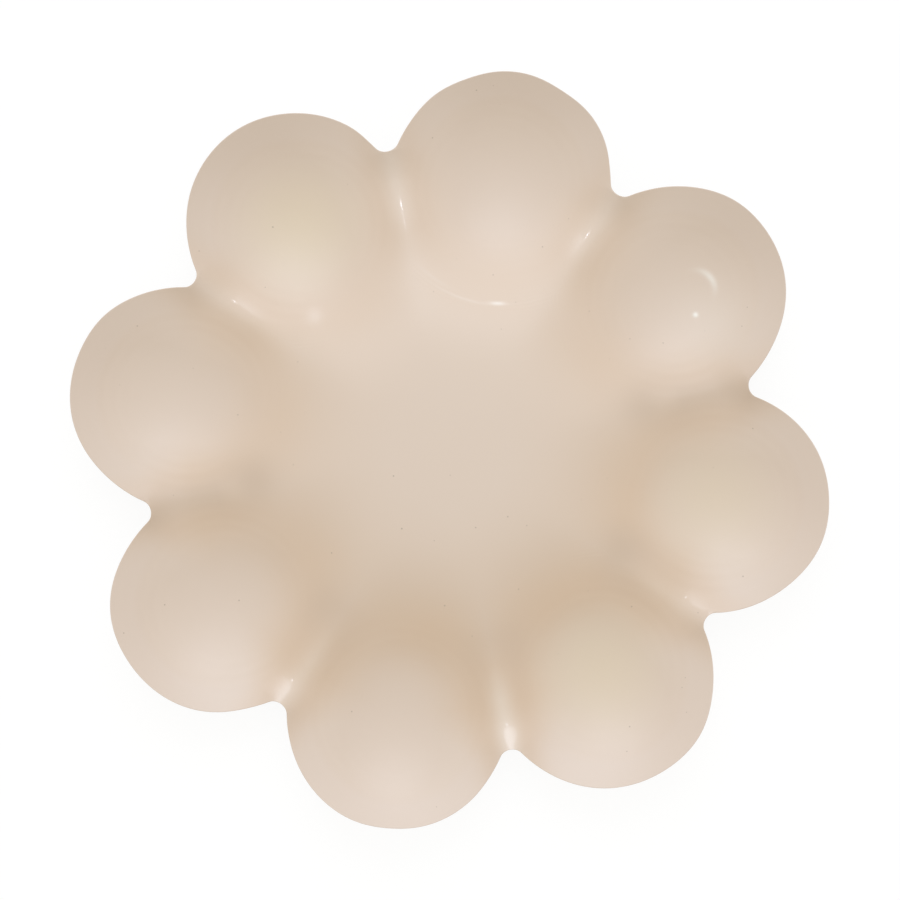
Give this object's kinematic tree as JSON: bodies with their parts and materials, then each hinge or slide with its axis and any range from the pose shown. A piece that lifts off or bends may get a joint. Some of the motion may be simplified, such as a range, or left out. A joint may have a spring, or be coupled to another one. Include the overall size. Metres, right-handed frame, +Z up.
{
  "type": "deviled egg platter",
  "caption": "Round scalloped serving platter in cream glazed ceramic, with shallow bowl-shaped egg wells in a ring about a raised centre plate.",
  "frame": {"origin": "on the table under the middle of the platter", "axes": "+Z up out of the face of the platter, +X through the middle of well_1"},
  "size_m": [0.264, 0.264, 0.0225],
  "materials": {
    "glaze": "gloss"
  },
  "bodies": {
    "root": {"centre_plate": "glaze", "well_1": "glaze", "well_2": "glaze", "well_3": "glaze", "well_4": "glaze", "well_5": "glaze", "well_6": "glaze", "well_7": "glaze", "well_8": "glaze", "ridge_1": "glaze", "ridge_2": "glaze", "ridge_3": "glaze", "ridge_4": "glaze", "ridge_5": "glaze", "ridge_6": "glaze", "ridge_7": "glaze", "ridge_8": "glaze"}
  },
  "joints": []
}
